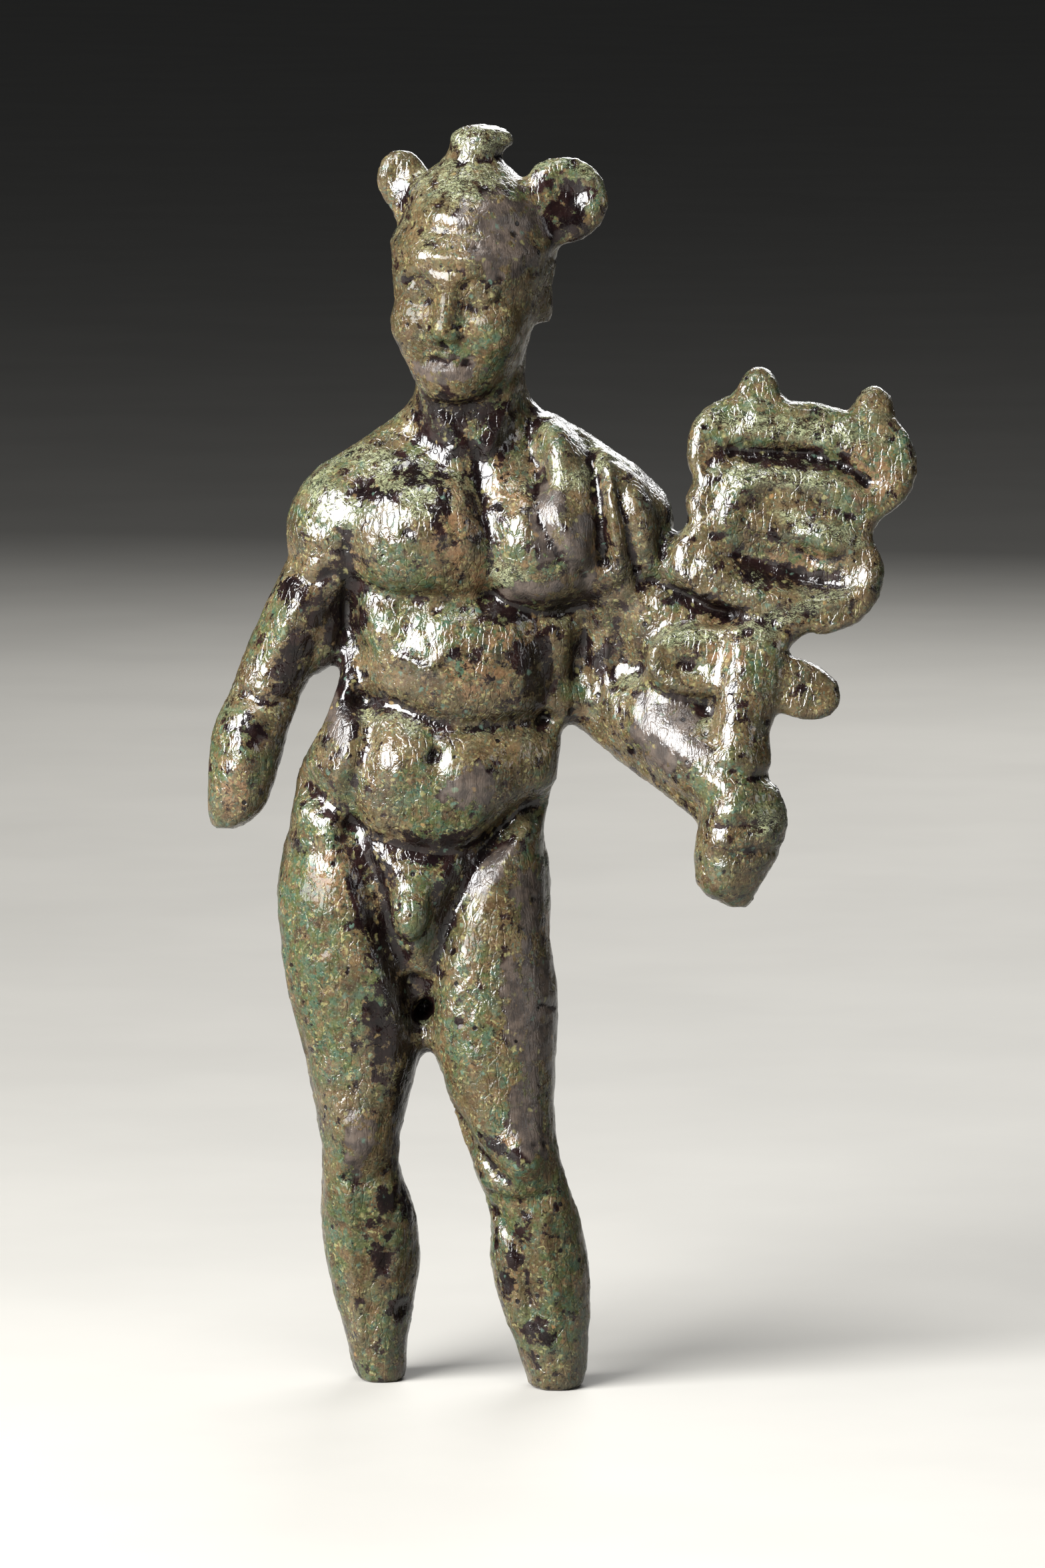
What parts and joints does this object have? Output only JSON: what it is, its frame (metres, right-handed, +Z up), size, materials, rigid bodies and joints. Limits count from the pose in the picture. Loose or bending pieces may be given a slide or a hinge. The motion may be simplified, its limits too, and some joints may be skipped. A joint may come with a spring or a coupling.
{
  "type": "figurine",
  "caption": "Standing nude god in a winged cap, cloak over the left shoulder and snake-wound staff in the left hand; a solid casting broken at the right forearm and shins.",
  "frame": {"origin": "centre of the bounding box in plan, at the level of the two broken shins that it stands on", "axes": "+Z up through the figure, -Y the way the chest faces, +X towards the figure's own left hand and staff"},
  "size_m": [0.0508, 0.0162, 0.0906],
  "materials": {
    "bronze": "glossy, dark brown and olive-green patina"
  },
  "bodies": {
    "root": {"figurine": "bronze"}
  },
  "joints": []
}
